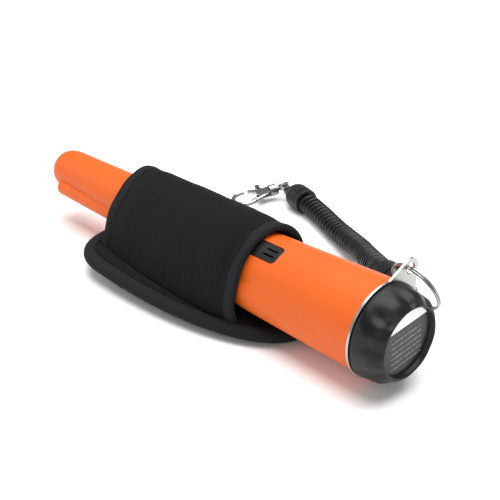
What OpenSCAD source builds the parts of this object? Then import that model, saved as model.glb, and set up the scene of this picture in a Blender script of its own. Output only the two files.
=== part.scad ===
// Pinpointer probe in a sewn belt holster, with a coiled lanyard and a clasp.
// Millimetres. +X runs from the tip of the probe to its battery cap, +Y is the side the
// lanyard lies on, +Z is up. The holster's belt loop stands on z = 0.

/* [Probe] */
// overall length, tip to cap
probe_len = 227; // [220:1:240]
// radius of the housing just behind the rounded tip
tip_r = 10.2; // [8:0.1:13]
// growth of the radius per millimetre just behind the tip
taper = 0.0347; // [0.03:0.0001:0.04]
// how much faster the radius grows further back, per millimetre squared
flare = 0.000064; // [0:0.000001:0.0001]
// length of the rounded tip
nose_len = 11; // [8:0.5:16]
// wall thickness of the housing
wall = 1.7; // [1.5:0.1:1.8]
// where the housing ends and the lanyard plate begins
housing_end = 212.75; // [212:0.25:214]
// height of the probe's axis above the ground
axis_h = 24.5; // [22:0.5:35]

/* [Scraping blade] */
// radius of the rounded blade bead
blade_r = 3.9; // [2:0.1:6]
// how far round from the top the blade sits, towards -Y
blade_turn = 118; // [90:1:180]
// end of the raised blade
blade_end = 210; // [190:1:211]
// distance of the bead's centre line from the axis
blade_c = 10.4; // [9.5:0.1:11.5]
// station where the ridge is widest
ridge_s = 150; // [100:1:180]

/* [Controls] */
// how far round from the top the controls sit, towards -Y
ctrl_turn = 27; // [0:1:45]
// width of the rubber control pad
pad_w = 8.8; // [6:0.2:14]
// rear edge of the control pad
pad_end = 165; // [150:1:180]
// front edge of the control pad
pad_start = 118; // [100:1:150]
// centre of the power button
button_s = 133; // [120:1:145]
// travel of the power button
button_travel = 0.8; // [0.3:0.1:1.5]
// centre of the working light
led_s = 112; // [80:1:130]

/* [Battery cap] */
// radius of the cap at its lobes
cap_r = 19.9; // [19.5:0.1:22]
// number of shallow grip scallops
cap_scallops = 9; // [4:1:16]
// thread pitch
pitch = 3; // [2:0.5:5]
// mean radius of the thread
thread_r = 15.9; // [12:0.1:18]
// height of the thread's wave either side of the mean radius
thread_a = 0.45; // [0.2:0.05:0.8]

/* [Lanyard plate and key ring] */
// distance of the plate's hole from the probe's axis
ear_d = 25.6; // [24:0.1:28]
// radius of the plate's hole
ear_hole_r = 2.4; // [1.5:0.1:4]
// how far round from the top the ear sits, towards -Y
ear_turn = -33.7; // [-40:0.1:-20]
// mean radius of the key ring
ring_r = 11.5; // [8:0.5:16]
// half the width of the key ring's flat double coil
ring_w = 1.0; // [0.6:0.1:1.5]

/* [Holster] */
// front mouth of the sleeve
mouth_front = 62.5; // [60:0.5:90]
// rear mouth of the sleeve
mouth_rear = 152; // [120:1:170]
// width of the binding tape
tape_w = 7.5; // [5:0.5:12]
// thickness of the padded sleeve
cloth_t = 1.4; // [1:0.1:1.6]
// thickness of the padded back panel
panel_t = 4.2; // [3:0.1:8]
// half the width of the back panel
panel_hw = 30.1; // [28:0.1:36]
// radius of the binding round the panel
edge_r = 3.5; // [2:0.1:5]
// width of the belt loop webbing
loop_w = 38; // [20:1:50]
// thickness of the belt loop webbing
loop_t = 1.3; // [0.8:0.1:3]

/* [Lanyard] */
// outer radius of the coil
coil_r = 5.4; // [4:0.1:8]
// outer radius of the end sockets
socket_r = 6.4; // [5:0.1:9]
// length of the end sockets
socket_len = 17; // [12:0.5:26]
// direction of the clasp on the ground, in degrees from +X
clasp_az = -113; // [-180:1:180]

/* [Hidden] */
fine = 96;
nose_pow = 0.86;
// the back panel follows the underside of the probe
slope_rise = 0.0472;
slope_start = 9.3;
bore_r = 17.3;
neck_r = 16.1;
collar_s = housing_end - 10;
thread_len = 8;
core_r = 16.9;
oring_s = housing_end - 0.9;
plate_t = 1;
plate_s = housing_end + 0.05;
cap_s = plate_s + plate_t + 0.05;
label_s = probe_len - 2.3;
scallop_r = 12;
scallop_lean = 7;
ear_y = -ear_d * sin(ear_turn);
ear_z = ear_d * cos(ear_turn);
ring_lean = 63.7;
ring_az = 85.6;
ring_roll = 3.1;
battery_s = housing_end - 8.6;
battery_w = 26.5;
battery_t = 17.4;
board_z = 2;
board_t = 1.6;
// the near socket starts at near_a and points along near_az and near_el
near_a = [72.8, 33.9, 24.4];
near_az = -27;
near_el = 8;
near_roll = 40;
eye_x = 22.5;
far_a = [-22.5, 86, 6.6];
far_az = 167.3;
// centre line of the lanyard coil, from the far socket to the near one
coil_path = [[-22.5, 86, 6.6], [-15, 84, 6.1], [-8, 81.7, 6], [-1, 78.9, 6], [8.5, 75, 6.2],
  [18.5, 71, 7], [27, 66.7, 8.6], [35, 62, 10.6], [43, 56.3, 13], [50.5, 51, 15.4], [60, 44.3, 18.6],
  [65, 40.2, 20.9], [69, 36.9, 22.9], [72.8, 33.9, 24.4]];
far_len = 13.5;
lug_x = far_len + 2;
link_r = 3.3;
link_w = 0.7;

// ---------- helpers ----------

function house_r(s) = tip_r + taper * (s - nose_len) + flare * pow(s - nose_len, 2);
// rounded tip, then a long curve that flares a little towards the cap
function nose(off) = [for (i = [0:14]) let (a = 90 * i / 14)
  [max(0, (house_r(nose_len) - off) * pow(sin(a), nose_pow)), off + (nose_len - off) * (1 - pow(cos(a), nose_pow))]];
function side(s0, s1, off) = [for (i = [0:20]) let (s = s0 + (s1 - s0) * i / 20) [house_r(s) - off, s]];
// radius of the outside at any station, the rounded tip included
function skin_r(s) = s >= nose_len ? house_r(s)
  : tip_r * pow(sin(acos(pow(1 - s / nose_len, 1 / nose_pow))), nose_pow);

// children drawn with +Z along the probe's axis, starting at the tip
module along_probe(s = 0) { translate([s - probe_len / 2, 0, axis_h]) rotate([0, 90, 0]) children(); }
// children drawn at station s with +Z pointing away from the axis, turned towards -Y
module off_axis(s, turn, r = 0) {
  translate([s - probe_len / 2, 0, axis_h]) rotate([turn, 0, 0]) translate([0, 0, r]) children();
}
module tube(r, ri, h) { difference() { cylinder(r = r, h = h, $fn = fine);
  translate([0, 0, -1]) cylinder(r = ri, h = h + 2, $fn = fine); } }
module torus(R, w, h, c = 0.35) { rotate_extrude($fn = fine) translate([R, 0]) offset(r = c, $fn = 24)
  square([2 * (w - c), 2 * (h - c)], center = true); }
// a rounded block, flat on z = 0
module slab(x, y, z, r) { linear_extrude(z) offset(r = r, $fn = 32)
  square([x - 2 * r, y - 2 * r], center = true); }

function unit(v) = v / norm(v);
// a closed or open tube of n sides swept along points p, its height squashed by flat
module sweep(p, r, n = 8, closed = false, flat = 1) {
  m = len(p);
  ring = [for (i = [0:m - 1]) let (
    a = closed ? p[(i + m - 1) % m] : p[max(0, i - 1)],
    b = closed ? p[(i + 1) % m] : p[min(m - 1, i + 1)],
    t = unit(b - a), u = unit(cross(t, [0, 0, 1])), v = cross(u, t))
    for (k = [0:n - 1]) let (g = 360 * (k + 0.5) / n) p[i] + r * (cos(g) * u + flat * sin(g) * v)];
  seg = closed ? m : m - 1;
  sides = [for (i = [0:seg - 1]) for (k = [0:n - 1]) let (j = (i + 1) % m, l = (k + 1) % n)
    each [[i * n + k, j * n + k, j * n + l], [i * n + k, j * n + l, i * n + l]]];
  ends = closed ? [] : [for (k = [1:n - 2]) each [[0, k, k + 1],
    [(m - 1) * n, (m - 1) * n + k + 1, (m - 1) * n + k]]];
  polyhedron(points = ring, faces = concat(sides, ends));
}

// ---------- probe ----------

module housing_shell() {
  color("#f0702f") difference() {
    along_probe() rotate_extrude($fn = fine) polygon(concat([[0, 0]], nose(0), side(nose_len + 1, housing_end, 0),
      [[bore_r, housing_end], [bore_r, collar_s]], side(collar_s - 0.1, nose_len + 1, wall),
      [for (i = [14:-1:0]) nose(wall)[i]], [[0, wall]]));
    // window of the control pad
    off_axis((pad_start + pad_end) / 2, ctrl_turn, house_r(pad_start) - 3)
      slab(pad_end - pad_start, pad_w, 12, 2.2);
    // window of the working light
    off_axis(led_s, ctrl_turn, house_r(led_s) - 4) cylinder(r = 2.6, h = 10, $fn = fine);
  }
}

// a bead along the tip that widens into a low ridge and dies away towards the cap:
// each section is the part of a circle that stands out of the housing
bead_front = 10.8;
ridge_c = 9;
ridge_r = 10.6;
fade_c = 5.4;
function mix(a, b, k) = a * (1 - k) + b * k;
function bead_c(s) = s < 58 ? blade_c : s < ridge_s ? mix(blade_c, ridge_c, (s - 58) / (ridge_s - 58))
  : mix(ridge_c, fade_c, (s - ridge_s) / (blade_end - ridge_s));
function bead_r(s) = let (d = bead_front + blade_r - s) d > 0 ? sqrt(blade_r * blade_r - d * d)
  : s < 58 ? blade_r : s < ridge_s ? mix(blade_r, ridge_r, (s - 58) / (ridge_s - 58))
  : mix(ridge_r, skin_r(blade_end) + 0.1 - fade_c, (s - ridge_s) / (blade_end - ridge_s));
function bead_section(s) = let (h = skin_r(s), c = bead_c(s), b = bead_r(s),
  inner = acos((h * h + c * c - b * b) / (2 * h * c)), outer = 180 - acos((b * b + c * c - h * h) / (2 * b * c)))
  concat([for (i = [0:12]) let (g = mix(-outer, outer, i / 12)) [b * sin(g), c + b * cos(g)]],
    [for (i = [1:9]) let (g = mix(inner, -inner, i / 10)) (h + 0.02) * [sin(g), cos(g)]]);
module scraping_blade() {
  start = bead_front + blade_r;
  stations = concat([for (d = [0.1, 0.5, 1.2, 2.4]) bead_front + d],
    [for (i = [0:22]) start + (blade_end - start) * i / 22]);
  n = 22;
  m = len(stations);
  points = [for (s = stations) each [for (p = bead_section(s)) [s, -p[0], p[1]]]];
  color("#ee6c2c") off_axis(0, blade_turn) polyhedron(points = points, faces = concat(
    [for (i = [0:m - 2]) for (k = [0:n - 1]) let (l = (k + 1) % n)
      each [[i * n + k, i * n + l, i * n + n + l], [i * n + k, i * n + n + l, i * n + n + k]]],
    [[for (k = [n - 1:-1:0]) k], [for (k = [0:n - 1]) (m - 1) * n + k]]));
}

// a round bar whose surface waves in and out along a screw line
module thread_wave(h, r) {
  n = 32;
  m = round(h / pitch * 8);
  points = [for (i = [0:m]) for (k = [0:n - 1]) let (g = 360 * k / n, z = h * i / m,
    w = r + thread_a * cos(g - 360 * z / pitch)) [w * cos(g), w * sin(g), z]];
  polyhedron(points = points, faces = concat(
    [for (i = [0:m - 1]) for (k = [0:n - 1]) let (l = (k + 1) % n)
      each [[i * n + k, i * n + n + k, i * n + n + l], [i * n + k, i * n + n + l, i * n + l]]],
    [[for (k = [0:n - 1]) k], [for (k = [n - 1:-1:0]) m * n + k]]));
}
module thread_collar() {
  color("#2a2b2c") along_probe(collar_s) difference() {
    cylinder(r = bore_r - 0.02, h = thread_len, $fn = fine);
    translate([0, 0, -pitch / 3]) thread_wave(thread_len + pitch, thread_r);
  }
}

module control_pad() {
  color("#2b2d2e") difference() {
    intersection() {
      off_axis((pad_start + pad_end) / 2, ctrl_turn, house_r(pad_start) - 1.8)
        slab(pad_end - pad_start - 0.1, pad_w - 0.1, 12, 2.2);
      along_probe() rotate_extrude($fn = fine) polygon(concat([[0, 100]], side(100, 180, 0.35), [[0, 180]]));
    }
    for (y = [-1.35, 1.35]) off_axis(159.5, ctrl_turn) translate([0, y, 8])
      slab(6.5, 0.9, 20, 0.4);
    off_axis(button_s, ctrl_turn) cylinder(r = 3.6, h = 30, $fn = fine);
  }
}

module power_button() {
  color("#232526") off_axis(button_s, ctrl_turn) {
    translate([0, 0, house_r(button_s) - 1.4]) cylinder(r = 3.5, h = 1.5, $fn = fine);
    translate([0, 0, 8.3]) cylinder(r = 1.4, h = house_r(button_s) - 9.6, $fn = fine);
  }
}
module led_lens() {
  color("#eef3f5") off_axis(led_s, ctrl_turn, house_r(led_s) - 2.2) cylinder(r = 2.55, h = 2, $fn = fine);
}
module led() {
  color("#f6f6ee") off_axis(led_s, ctrl_turn, board_z + board_t) {
    cylinder(r = 2.4, h = 1, $fn = fine);
    cylinder(r = 2.1, h = 6, $fn = fine);
    translate([0, 0, 6]) sphere(r = 2.1, $fn = 48);
  }
}
module tact_switch() {
  color("#3a3a3c") off_axis(button_s, ctrl_turn, board_z + board_t) {
    slab(6, 6, 3.4, 0.3);
    cylinder(r = 1.6, h = 3.8, $fn = fine);
  }
}
module circuit_board() {
  color("#1f6b43") off_axis(0, ctrl_turn) difference() {
    translate([106, 0, board_z]) slab(92, 16, board_t, 1.5);
    for (s = [66, 146]) translate([s, 0, 0]) cylinder(r = 1.15, h = 10, $fn = fine);
    // clearance for the vibration motor
    translate([84, 0, 0]) slab(7.5, 8, 10, 0.5);
    translate([93.3, 0, 0]) slab(11, 6.04, 10, 0.2);
  }
}
module controller_chip() {
  color("#18191a") off_axis(0, ctrl_turn) translate([123.5, 0, board_z + board_t]) {
    slab(7, 7, 1.4, 0.2);
    for (i = [-2:2]) for (k = [-1, 1]) translate([i * 1.2, k * 4.2, 0.15]) cube([0.4, 1.4, 0.3], center = true);
  }
}
module trimmer() {
  color("#2c62b5") off_axis(0, ctrl_turn) translate([74, 0, board_z + board_t]) {
    slab(6.5, 6.5, 3, 0.4);
    translate([0, 0, 3]) cylinder(r = 1.8, h = 0.5, $fn = fine);
  }
}
module capacitor() {
  color("#2f3440") off_axis(0, ctrl_turn) translate([141, 2, board_z + board_t])
    cylinder(r = 2.4, h = 6, $fn = fine);
}
module chassis() {
  color("#3b3e41") off_axis(0, ctrl_turn) difference() {
    union() {
      translate([106, 0, -0.9]) slab(94, 20, 1.8, 1.5);
      for (s = [66, 146]) translate([s, 0, 0]) cylinder(r = 2.6, h = board_z, $fn = fine);
    }
    for (s = [66, 146]) translate([s, 0, -2]) cylinder(r = 0.95, h = 10, $fn = fine);
    translate([84, 0, -2]) slab(7.5, 8, 10, 0.5);
    translate([93.3, 0, -2]) slab(11, 6.04, 10, 0.2);
  }
}
module board_screw() {
  translate([0, 0, board_z + board_t]) cylinder(r = 2, h = 1.3, $fn = fine);
  translate([0, 0, -0.9]) cylinder(r = 0.93, h = board_z + board_t + 1, $fn = fine);
}
module board_screw_front() { color("#b9bcc0") off_axis(66, ctrl_turn) board_screw(); }
module board_screw_rear() { color("#b9bcc0") off_axis(146, ctrl_turn) board_screw(); }
module speaker() {
  color("#77797c") off_axis(159.5, ctrl_turn, 9.3) {
    cylinder(r = 6.2, h = 2.4, $fn = fine);
    translate([0, 0, 2.4]) tube(4.6, 3.6, 0.5);
  }
}
module motor_body() {
  color("#b4b7ba") off_axis(0, ctrl_turn) translate([88, 0, 1]) rotate([0, 90, 0]) {
    cylinder(r = 3, h = 10.5, $fn = fine);
    translate([0, 0, -6.5]) cylinder(r = 0.5, h = 6.6, $fn = fine);
  }
}
module motor_weight() {
  color("#8d8f91") off_axis(0, ctrl_turn) translate([82.5, 0, 1]) rotate([0, 90, 0]) difference() {
    cylinder(r = 2.8, h = 4, $fn = fine);
    translate([0, 0, -1]) cylinder(r = 0.55, h = 6, $fn = fine);
    translate([0.9, -4, -1]) cube([4, 8, 6]);
  }
}
module ferrite_core() { color("#4a4b4d") along_probe(6) cylinder(r = 4, h = 44, $fn = fine); }
module coil_bobbin() {
  color("#d9d4c4") along_probe(9) {
    tube(4.9, 4.05, 40);
    for (s = [0, 15.4, 24.6, 38.6]) translate([0, 0, s]) tube(7.4, 4.9, 1.4);
  }
}
module drive_winding() {
  color("#b5672a") along_probe(9) {
    translate([0, 0, 1.5]) tube(6.9, 4.95, 13.8);
    translate([0, 0, 26.1]) tube(6.9, 4.95, 12.4);
  }
}
module sense_winding() { color("#c77a38") along_probe(9) translate([0, 0, 16.9]) tube(6.9, 4.95, 7.6); }
module core_spacer() { color("#3b3e41") along_probe(50.2) { tube(9.9, 6, 5); cylinder(r = 6.1, h = 1.5, $fn = fine); } }
module contact_board() {
  color("#1f6b43") along_probe(153.4) rotate([0, 0, 180 + ctrl_turn]) {
    slab(13, 22, 1.4, 2);
    for (y = [-6.35, 6.35]) translate([0, y, 1.4]) cylinder(r = 3, h = 0.25, $fn = fine);
  }
}
module battery() {
  color("#3c4044") along_probe(battery_s - 46.2) rotate([0, 0, 180 + ctrl_turn])
    slab(battery_t, battery_w, 46.2, 2.5);
}
module battery_terminals() {
  color("#c9c9c4") along_probe(battery_s - 48.7) rotate([0, 0, 180 + ctrl_turn])
    for (y = [-6.35, 6.35]) translate([0, y, 0]) cylinder(r = y > 0 ? 2.9 : 3.8, h = 2.5, $fn = fine);
}

module pressure_plate() {
  color("#33363a") along_probe(battery_s + 0.2) cylinder(r = 12.5, h = 1.5, $fn = fine);
}
module cap_spring() {
  color("#b9bcc0") along_probe(battery_s + 1.7) sweep([for (i = [0:64])
    let (g = i * 360 / 16, r = 9.5 - i / 64 * 4) [r * cos(g), r * sin(g), 0.5 + i / 64 * 5.4]], 0.45, 6);
}
module cap_core() {
  color("#303234") along_probe() difference() {
    union() {
      intersection() {
        translate([0, 0, collar_s - pitch / 3]) thread_wave(thread_len + pitch, thread_r - 0.25);
        translate([0, 0, collar_s + 1.6]) cylinder(r = 20, h = thread_len - 1.6, $fn = fine);
      }
      translate([0, 0, collar_s + thread_len]) cylinder(r = neck_r, h = cap_s - collar_s - thread_len, $fn = fine);
      translate([0, 0, cap_s]) cylinder(r = core_r, h = 9, $fn = fine);
    }
    translate([0, 0, collar_s]) cylinder(r = 13.6, h = cap_s - collar_s - 1.5, $fn = fine);
    translate([0, 0, oring_s]) rotate_extrude($fn = fine) translate([16.4, 0]) circle(r = 0.83, $fn = 24);
  }
}
module cap_oring() {
  color("#1c1d1e") along_probe(oring_s) rotate_extrude($fn = fine) translate([16.4, 0]) circle(r = 0.8, $fn = 24);
}
module battery_cap() {
  color("#2a2c2c") along_probe() difference() {
    rotate_extrude($fn = fine) polygon(concat([[0, cap_s + 9.05], [core_r + 0.03, cap_s + 9.05],
      [core_r + 0.03, cap_s], [cap_r - 0.5, cap_s], [cap_r, cap_s + 0.8], [cap_r - 0.4, probe_len - 6.5],
      [cap_r - 0.9, probe_len - 4.2]],
      [for (a = [15:15:90]) [cap_r - 4.7 + 3.8 * cos(a), probe_len - 4.2 + 4.2 * sin(a)]],
      [[14.8, probe_len], [14.3, probe_len - 0.6], [14.3, label_s], [0, label_s]]));
    for (i = [0:cap_scallops - 1]) rotate([0, 0, 20 + 360 * i / cap_scallops])
      translate([cap_r + scallop_r - 0.2, 0, cap_s + 2]) rotate([0, -scallop_lean, 0])
        cylinder(r = scallop_r, h = 30, $fn = fine);
  }
}
module cap_label() { color("#202224") along_probe(label_s) cylinder(r = 14.1, h = 0.25, $fn = fine); }

module lanyard_plate() {
  color("#c8c9c5") off_axis(plate_s, ear_turn) rotate([90, 0, 90]) linear_extrude(plate_t) difference() {
    union() {
      circle(r = 20.3, $fn = fine);
      hull() {
        translate([0, ear_d]) circle(r = 4.4, $fn = 48);
        translate([-9.6, 17]) square([19.2, 0.8]);
      }
    }
    circle(r = bore_r + 0.1, $fn = fine);
    translate([0, ear_d]) circle(r = ear_hole_r, $fn = fine);
  }
}
module at_hole() { translate([plate_s + plate_t / 2 - probe_len / 2, ear_y, axis_h + ear_z])
  rotate([0, ring_lean, ring_az]) rotate([0, 0, ring_roll]) children(); }
module key_ring() {
  color("#cfd0cc") at_hole() translate([ring_r, 0, 0]) torus(ring_r, ring_w, 0.95);
}

// ---------- holster ----------

// the sleeve's outer section at its front and rear mouths, from the foot at -Y to the one
// at +Y, as [y, z] about the probe's axis: it leans a little towards +Y
arch_front = [[-22.3, -12.9], [-20.2, -7.5], [-18.2, -0.5], [-15.4, 4.7], [-10.9, 9.8], [-5.8, 14.4], [2.6, 17.7],
  [8.6, 16.2], [14, 11.6], [17.8, 5.4], [20, -1], [21.6, -7.5], [23.2, -12.9]];
arch_rear = [[-20.6, -16.9], [-22.2, -9.5], [-21, -2.5], [-18.8, 5], [-15.4, 11.2], [-9.2, 16.8], [0.6, 19.7],
  [8.6, 18.2], [15.2, 13.6], [19.4, 7], [21.2, -1.5], [21.8, -9], [20.4, -16.9]];
// both feet bow outwards between the mouths
foot_bow = [3.2, 1.4, 0.4, 0, 0, 0, 0, 0, 0, 0, -0.4, -1.4, -3.2];
function arch(s) = let (k = (s - mouth_front) / (mouth_rear - mouth_front))
  [for (i = [0:12]) mix(arch_front[i], arch_rear[i], k) - [foot_bow[i] * sin(180 * k), 0]];
// the section moved inwards by t, kept level at its feet
function inset(a, t) = [for (i = [0:12]) let (d = a[min(12, i + 1)] - a[max(0, i - 1)],
  q = unit([d[1], -d[0]])) i == 0 || i == 12 ? a[i] + [(i == 0 ? 1 : -1) * t * 1.3, 0] : a[i] + t * q];
// a band of the sleeve between two stations, in a number of straight steps
module arch_band(s0, s1, out, t, steps = 1) {
  m = 26;
  ring = [for (j = [0:steps]) let (s = mix(s0, s1, j / steps), o = inset(arch(s), -out), n = inset(arch(s), t))
    each [for (p = concat(o, [for (i = [12:-1:0]) n[i]])) [s - probe_len / 2, p[0], p[1] + axis_h]]];
  last = steps * m;
  polyhedron(points = ring, faces = concat(
    [for (b = [0:steps - 1]) for (i = [0:m - 1]) let (j = (i + 1) % m, f = b * m)
      each [[f + i, f + m + j, f + m + i], [f + i, f + j, f + m + j]]],
    [for (i = [0:11]) each [[i, m - 1 - i, i + 1], [i + 1, m - 1 - i, m - 2 - i],
      [last + i, last + i + 1, last + m - 1 - i], [last + i + 1, last + m - 2 - i, last + m - 1 - i]]]));
}
module holster_sleeve() { color("#26282a") arch_band(mouth_front + tape_w, mouth_rear - tape_w, 0, cloth_t, 6); }
module front_binding() { color("#2c2e30") arch_band(mouth_front, mouth_front + tape_w, 0.6, cloth_t + 0.1); }
module rear_binding() { color("#2c2e30") arch_band(mouth_rear - tape_w, mouth_rear, 0.6, cloth_t + 0.1); }

// outline of the back panel: blunt in front, and a long taper behind its widest station
panel_s = 80;
panel_front = 22;
panel_rear = 88;
function bulge(a, n) = [pow(abs(cos(a)), 2 / n) * sign(cos(a)), pow(abs(sin(a)), 2 / n) * sign(sin(a))];
function panel_edge(g = 0) = concat(
  [for (a = [-90:7.5:82.5]) let (q = bulge(a, 2.2))
    [panel_s - probe_len / 2 + (panel_rear + g) * q[0], (panel_hw + g) * q[1]]],
  [for (a = [90:10:260]) let (q = bulge(a, 3))
    [panel_s - probe_len / 2 + (panel_front + g) * q[0], (panel_hw + g) * q[1]]]);
// distance of the panel's top below the probe's axis
function panel_drop(s) = slope_start + slope_rise * s + 0.7;
// children drawn on the panel's top plane, which follows the underside of the probe
module on_panel() {
  translate([-probe_len / 2, 0, axis_h - panel_drop(0)]) rotate([0, atan(slope_rise), 0])
    translate([probe_len / 2, 0, 0]) children();
}
module back_panel() {
  color("#2b2d2f") on_panel() translate([0, 0, -panel_t]) linear_extrude(panel_t) polygon(panel_edge(0));
}
module panel_binding() {
  color("#3a3d3f") on_panel() sweep([for (p = panel_edge(edge_r - 0.6)) [p[0], p[1], -panel_t / 2]],
    edge_r, 12, true, 0.76);
}
module belt_loop() {
  // top of the webbing runs from the panel down to the ground, along it, and back up
  s0 = 69.5;
  s1 = 130;
  f0 = s0 - probe_len / 2;
  f1 = s1 - probe_len / 2;
  top0 = axis_h - panel_drop(s0) - panel_t - 0.15;
  top1 = axis_h - panel_drop(s1) - panel_t - 0.15;
  color("#232527") translate([0, loop_w / 2, 0]) rotate([90, 0, 0]) linear_extrude(loop_w) polygon([
    [f0 - 7.5, top0 + 7.5 * slope_rise], [f0 - 7.5, top0 + 7.5 * slope_rise - loop_t], [f0 - 4.5, top0 - 1.6],
    [f0 - 2, 1.6], [f0 + 1, 0], [f1 - 1, 0], [f1 + 2, 0.5], [f1 + 5, top1 - 5 * slope_rise - loop_t],
    [f1 + 12, top1 - 12 * slope_rise - loop_t], [f1 + 12, top1 - 12 * slope_rise], [f1 + 4, top1 - 4 * slope_rise],
    [f1 - 0.5, loop_t], [f0 + 1.5, loop_t], [f0 - 0.6, 2.4], [f0 - 3, top0 + 3 * slope_rise]]);
}

// ---------- lanyard ----------

module near_end() { translate(near_a) rotate([near_roll, -near_el, near_az]) children(); }
module far_end() { translate(far_a) rotate([0, 0, far_az]) children(); }
// moulded socket round the end of the coil, +X along the lanyard
module socket_shape(len) {
  rotate([0, 90, 0]) rotate_extrude($fn = fine) polygon([[0, 0.2], [5.5, 0.2], [socket_r - 0.4, 0.2],
    [socket_r, 0.7], [socket_r, len - 4], [socket_r - 0.7, len - 1.9],
    [socket_r - 2.2, len - 0.5], [3, len], [0, len]]);
}
module near_eye() {
  color("#c4c5c1") near_end() {
    translate([eye_x, 0, 0]) torus(3.6, 0.8, 0.8);
    translate([socket_len, 0, 0]) rotate([0, 90, 0]) cylinder(r = 1.6, h = 1.8, $fn = fine);
    translate([socket_len + 0.02, 0, 0]) rotate([0, 90, 0]) cylinder(r = 2.8, h = 1.2, $fn = fine);
  }
}
module socket_groove(s) { translate([s, 0, 0]) rotate([0, 90, 0]) tube(socket_r + 1, socket_r - 0.5, 5.2); }
module near_socket() { color("#2a2b2b") near_end() difference() { socket_shape(socket_len); socket_groove(4.4); } }
module near_clamp() { color("#343637") near_end() translate([4.5, 0, 0]) rotate([0, 90, 0]) tube(socket_r + 0.35, socket_r - 0.47, 5); }
module far_socket() {
  color("#2a2b2b") far_end() {
    difference() { socket_shape(far_len); socket_groove(3.4); }
    // moulded lug with a hole for the link ring
    difference() {
      hull() {
        translate([lug_x, 0, -1.3]) cylinder(r = 2.7, h = 2.6, $fn = 32);
        translate([far_len - 1.5, -3.2, -1.3]) cube([1, 6.4, 2.6]);
      }
      translate([lug_x, 0, -3]) cylinder(r = 1.25, h = 6, $fn = fine);
    }
  }
}
module far_clamp() { color("#343637") far_end() translate([3.5, 0, 0]) rotate([0, 90, 0]) tube(socket_r + 0.15, socket_r - 0.47, 5); }
module lanyard_coil() { color("#2c2e2f") sweep(coil_path, coil_r - 0.2, 10); }

// the link ring stands upright, its plane along the far socket
module link_ring() {
  color("#c4c5c1") far_end() translate([lug_x + link_r, 0, 0]) rotate([90, 0, 0]) torus(link_r, link_w, 0.75, 0.3);
}
module at_clasp() { translate(far_a) rotate([0, 0, far_az]) translate([lug_x + 2 * link_r, 0, 0])
  rotate([0, 0, clasp_az - far_az]) rotate([0, 8, 0]) translate([0.5, 0, 0]) children(); }
module clasp_swivel() {
  color("#c9c9c6") at_clasp() {
    torus(2.3, 0.7, 0.8, 0.3);
    translate([2.6, 0, 0]) rotate([0, 90, 0]) cylinder(r = 1.1, h = 4.4, $fn = fine);
    translate([6.2, 0, 0]) rotate([0, 90, 0]) cylinder(r = 1.9, h = 0.8, $fn = fine);
  }
}
module clasp_body() {
  color("#c9c9c6") at_clasp() difference() {
    union() {
      translate([3.6, 0, 0]) rotate([0, 90, 0]) cylinder(r = 3.1, h = 4.4, $fn = fine);
      hull() {
        translate([7.6, -2.9, -1.5]) cube([0.6, 5.8, 3]);
        translate([12, 0.6, -1.3]) cylinder(r = 3.4, h = 2.6, $fn = 32);
      }
      // back of the frame, then the round hook
      hull() {
        translate([9, 2.2, 0]) sphere(r = 1.3, $fn = 24);
        translate([17, 5.6, 0]) sphere(r = 1.15, $fn = 24);
      }
      translate([21.5, 0.4, 0]) rotate([0, 0, -105]) rotate_extrude(angle = 240, $fn = fine)
        translate([6.6, 0]) circle(r = 1.15, $fn = 24);
    }
    // room for the swivel's head and stem
    translate([3.5, 0, 0]) rotate([0, 90, 0]) cylinder(r = 1.15, h = 3, $fn = fine);
    translate([5.9, 0, 0]) rotate([0, 90, 0]) cylinder(r = 2, h = 1.6, $fn = fine);
    // slot that the lever turns in
    translate([8.2, -7, -0.75]) cube([8.5, 11.3, 1.5]);
    translate([11.4, -1.2, -3]) cylinder(r = 0.72, h = 6, $fn = fine);
  }
}
module clasp_lever() {
  color("#bdbdb9") at_clasp() difference() {
    union() {
      translate([11.4, -1.2, -0.65]) cylinder(r = 1.9, h = 1.3, $fn = fine);
      hull() {
        translate([11.4, -1.2, -0.65]) cylinder(r = 1.5, h = 1.3, $fn = 32);
        translate([17.6, -5.3, -0.65]) cylinder(r = 0.9, h = 1.3, $fn = 32);
      }
      hull() {
        translate([11.4, -1.2, -0.65]) cylinder(r = 1.2, h = 1.3, $fn = 32);
        translate([12.4, -6.4, -0.65]) cylinder(r = 1.1, h = 1.3, $fn = 32);
      }
      translate([12.4, -6.6, -1.5]) cylinder(r = 1.4, h = 3, $fn = fine);
    }
    translate([11.4, -1.2, -3]) cylinder(r = 0.75, h = 6, $fn = fine);
  }
}
module lever_pin() { color("#a9a9a5") at_clasp() translate([11.4, -1.2, -1.5]) cylinder(r = 0.7, h = 3, $fn = fine); }

housing_shell();
scraping_blade();
thread_collar();
control_pad();
power_button();
led_lens();
led();
tact_switch();
circuit_board();
controller_chip();
trimmer();
capacitor();
chassis();
board_screw_front();
board_screw_rear();
speaker();
motor_body();
motor_weight();
ferrite_core();
coil_bobbin();
drive_winding();
sense_winding();
core_spacer();
contact_board();
battery();
battery_terminals();
pressure_plate();
cap_spring();
cap_core();
cap_oring();
battery_cap();
cap_label();
lanyard_plate();
key_ring();
holster_sleeve();
front_binding();
rear_binding();
back_panel();
panel_binding();
belt_loop();
near_eye();
near_socket();
near_clamp();
lanyard_coil();
far_clamp();
far_socket();
link_ring();
clasp_swivel();
clasp_body();
clasp_lever();
lever_pin();
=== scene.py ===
# %% [markdown]
# # A pinpointer probe in its belt holster
#
# The probe is a tapered orange tube that somebody holds in one hand to find small metal
# things in loose soil. It lies in a padded nylon holster. A coiled lanyard with a swivel
# clasp is tied to a thin steel plate under its battery cap.
#
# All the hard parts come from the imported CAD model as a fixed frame. This file gives them
# their finishes, and builds the soft parts, the coiled cord and the small wire parts.

# %% Load the frame and keep its box
import math

import bmesh
import bpy
from mathutils import Matrix, Vector, noise


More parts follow.
